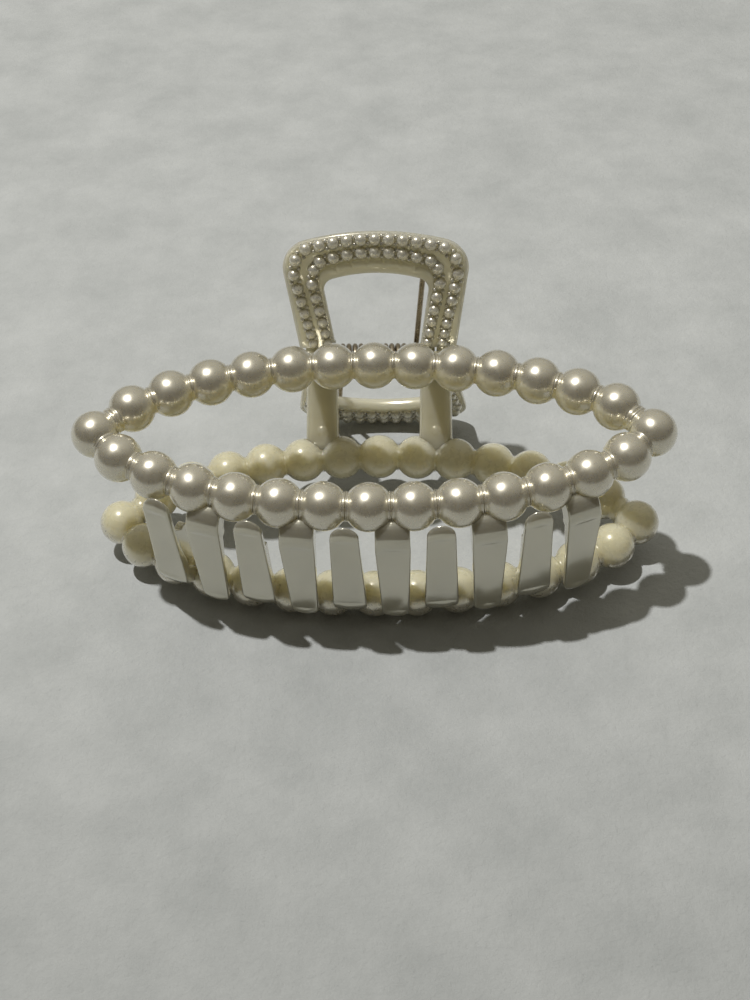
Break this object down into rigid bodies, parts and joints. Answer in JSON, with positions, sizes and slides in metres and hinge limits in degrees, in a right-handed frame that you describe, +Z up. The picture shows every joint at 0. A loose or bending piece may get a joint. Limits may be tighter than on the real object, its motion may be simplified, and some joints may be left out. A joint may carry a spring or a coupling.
{
  "type": "claw clip",
  "caption": "Claw hair clip with two bead-loop jaws that carry interleaving teeth, sprung shut on a hinge pin, with pearl-edged finger handles.",
  "frame": {"origin": "centre of the clip's footprint, on the surface it lies on", "axes": "+X to the viewer's right along the hinge pin and the long way of the jaws, +Y back towards the handles, +Z up; the teeth are at -Y"},
  "size_m": [0.1, 0.0614, 0.0496],
  "materials": {
    "pearl_plastic": "pearlescent cream lacquer, gloss",
    "cream_plastic": "translucent cream plastic with a pearl sheen, semi-gloss",
    "spring_steel": "dark drawn spring wire",
    "pin_steel": "plain drawn wire"
  },
  "bodies": {
    "lower_jaw": {"lower_bead_loop": "pearl_plastic", "lower_teeth": "cream_plastic", "lower_arm_left": "cream_plastic", "lower_arm_right": "cream_plastic", "lower_handle_bow": "cream_plastic", "lower_handle_pearls": "pearl_plastic", "hinge_pin": "pin_steel", "torsion_spring": "spring_steel"},
    "upper_jaw": {"upper_bead_loop": "pearl_plastic", "upper_teeth": "cream_plastic", "upper_arm_left": "cream_plastic", "upper_arm_right": "cream_plastic", "upper_handle_bow": "cream_plastic", "upper_handle_pearls": "pearl_plastic"}
  },
  "joints": [
    {"name": "jaw_hinge", "type": "hinge", "parent": "lower_jaw", "child": "upper_jaw", "pos_m": [0, 0.0188, 0.02374], "axis": [-1, 0, 0], "range_deg": [0, 130], "stiffness_Nm_per_rad": 0.06, "springref_deg": -68.75, "deforming": ["torsion_spring"]}
  ]
}
